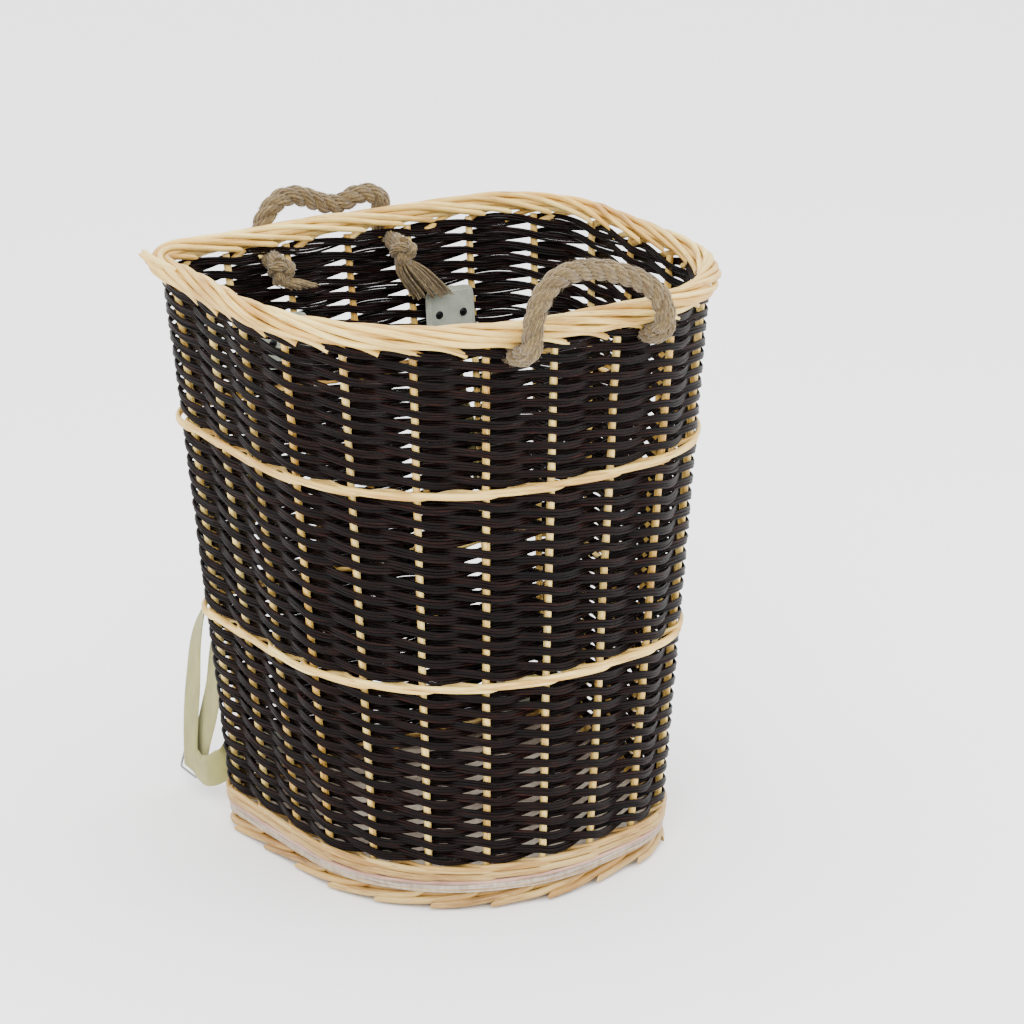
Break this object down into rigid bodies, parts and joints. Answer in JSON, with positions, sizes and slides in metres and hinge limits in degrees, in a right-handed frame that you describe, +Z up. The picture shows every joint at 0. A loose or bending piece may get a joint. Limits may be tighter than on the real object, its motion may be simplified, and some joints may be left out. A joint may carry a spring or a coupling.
{
  "type": "wicker carrying basket",
  "caption": "Tall D-shaped willow basket with a woven wall on a board, rope handles, and shoulder straps on its flat back.",
  "frame": {"origin": "on the ground under the middle of the foot", "axes": "+X is the basket's width, +Y is the flat back with the straps, +Z is up"},
  "size_m": [0.5715, 0.5713, 0.7525],
  "materials": {
    "peeled_willow": "satin",
    "dark_willow": "satin",
    "plywood": "matt",
    "jute_rope": "fibrous",
    "cotton_webbing": "woven",
    "felt_patch": "matt",
    "slider_steel": "dull",
    "rivet_metal": "black"
  },
  "bodies": {
    "basket": {"band_lower": "peeled_willow", "band_upper": "peeled_willow", "base_board": "plywood", "base_wale": "peeled_willow", "foot_border": "peeled_willow", "rim_border": "peeled_willow", "rope_back_end_left": "jute_rope", "rope_back_end_right": "jute_rope", "rope_front_end_left": "jute_rope", "rope_front_end_right": "jute_rope", "stake_01": "peeled_willow", "stake_02": "peeled_willow", "stake_03": "peeled_willow", "stake_04": "peeled_willow", "stake_05": "peeled_willow", "stake_06": "peeled_willow", "stake_07": "peeled_willow", "stake_08": "peeled_willow", "stake_09": "peeled_willow", "stake_10": "peeled_willow", "stake_11": "peeled_willow", "stake_12": "peeled_willow", "stake_13": "peeled_willow", "stake_14": "peeled_willow", "stake_15": "peeled_willow", "stake_16": "peeled_willow", "stake_17": "peeled_willow", "stake_18": "peeled_willow", "stake_19": "peeled_willow", "stake_20": "peeled_willow", "stake_21": "peeled_willow", "stake_22": "peeled_willow", "strap_left_foot_patch": "felt_patch", "strap_left_foot_tab": "cotton_webbing", "strap_left_patch": "felt_patch", "strap_left_rivets": "rivet_metal", "strap_left_top": "cotton_webbing", "strap_right_foot_patch": "felt_patch", "strap_right_foot_tab": "cotton_webbing", "strap_right_patch": "felt_patch", "strap_right_rivets": "rivet_metal", "strap_right_top": "cotton_webbing", "tassel_back_left": "jute_rope", "tassel_back_right": "jute_rope", "tassel_front_left": "jute_rope", "tassel_front_right": "jute_rope", "weave_lower": "dark_willow", "weave_middle": "dark_willow", "weave_upper": "dark_willow"},
    "handle_front": {"rope_front_arch": "jute_rope"},
    "handle_back": {"rope_back_arch": "jute_rope"},
    "strap_left": {"strap_left_loop": "cotton_webbing", "strap_left_tail": "cotton_webbing", "strap_left_lower": "cotton_webbing"},
    "slider_left": {"strap_left_slider": "slider_steel"},
    "strap_right": {"strap_right_loop": "cotton_webbing", "strap_right_tail": "cotton_webbing", "strap_right_lower": "cotton_webbing"},
    "slider_right": {"strap_right_slider": "slider_steel"}
  },
  "joints": [
    {"name": "handle_front_fold", "type": "hinge", "parent": "basket", "child": "handle_front", "pos_m": [0.013, -0.244, 0.676], "axis": [1, 0, 0], "range_deg": [0, 90]},
    {"name": "handle_back_fold", "type": "hinge", "parent": "basket", "child": "handle_back", "pos_m": [-0.031, 0.298, 0.676], "axis": [1, 0, 0], "range_deg": [-90, 0]},
    {"name": "strap_left_swing", "type": "hinge", "parent": "basket", "child": "strap_left", "pos_m": [-0.174, 0.2498, 0.33], "axis": [0.0342, 0.1657, 0.9856], "range_deg": [-30, 3]},
    {"name": "slider_left_slide", "type": "slide", "parent": "strap_left", "child": "slider_left", "axis": [0, -0.02, 0.9998], "range_m": [0, 0.06]},
    {"name": "strap_right_swing", "type": "hinge", "parent": "basket", "child": "strap_right", "pos_m": [0.174, 0.2498, 0.33], "axis": [-0.0342, 0.1657, 0.9856], "range_deg": [-10, 30]},
    {"name": "slider_right_slide", "type": "slide", "parent": "strap_right", "child": "slider_right", "axis": [0, -0.02, 0.9998], "range_m": [0, 0.06]}
  ]
}
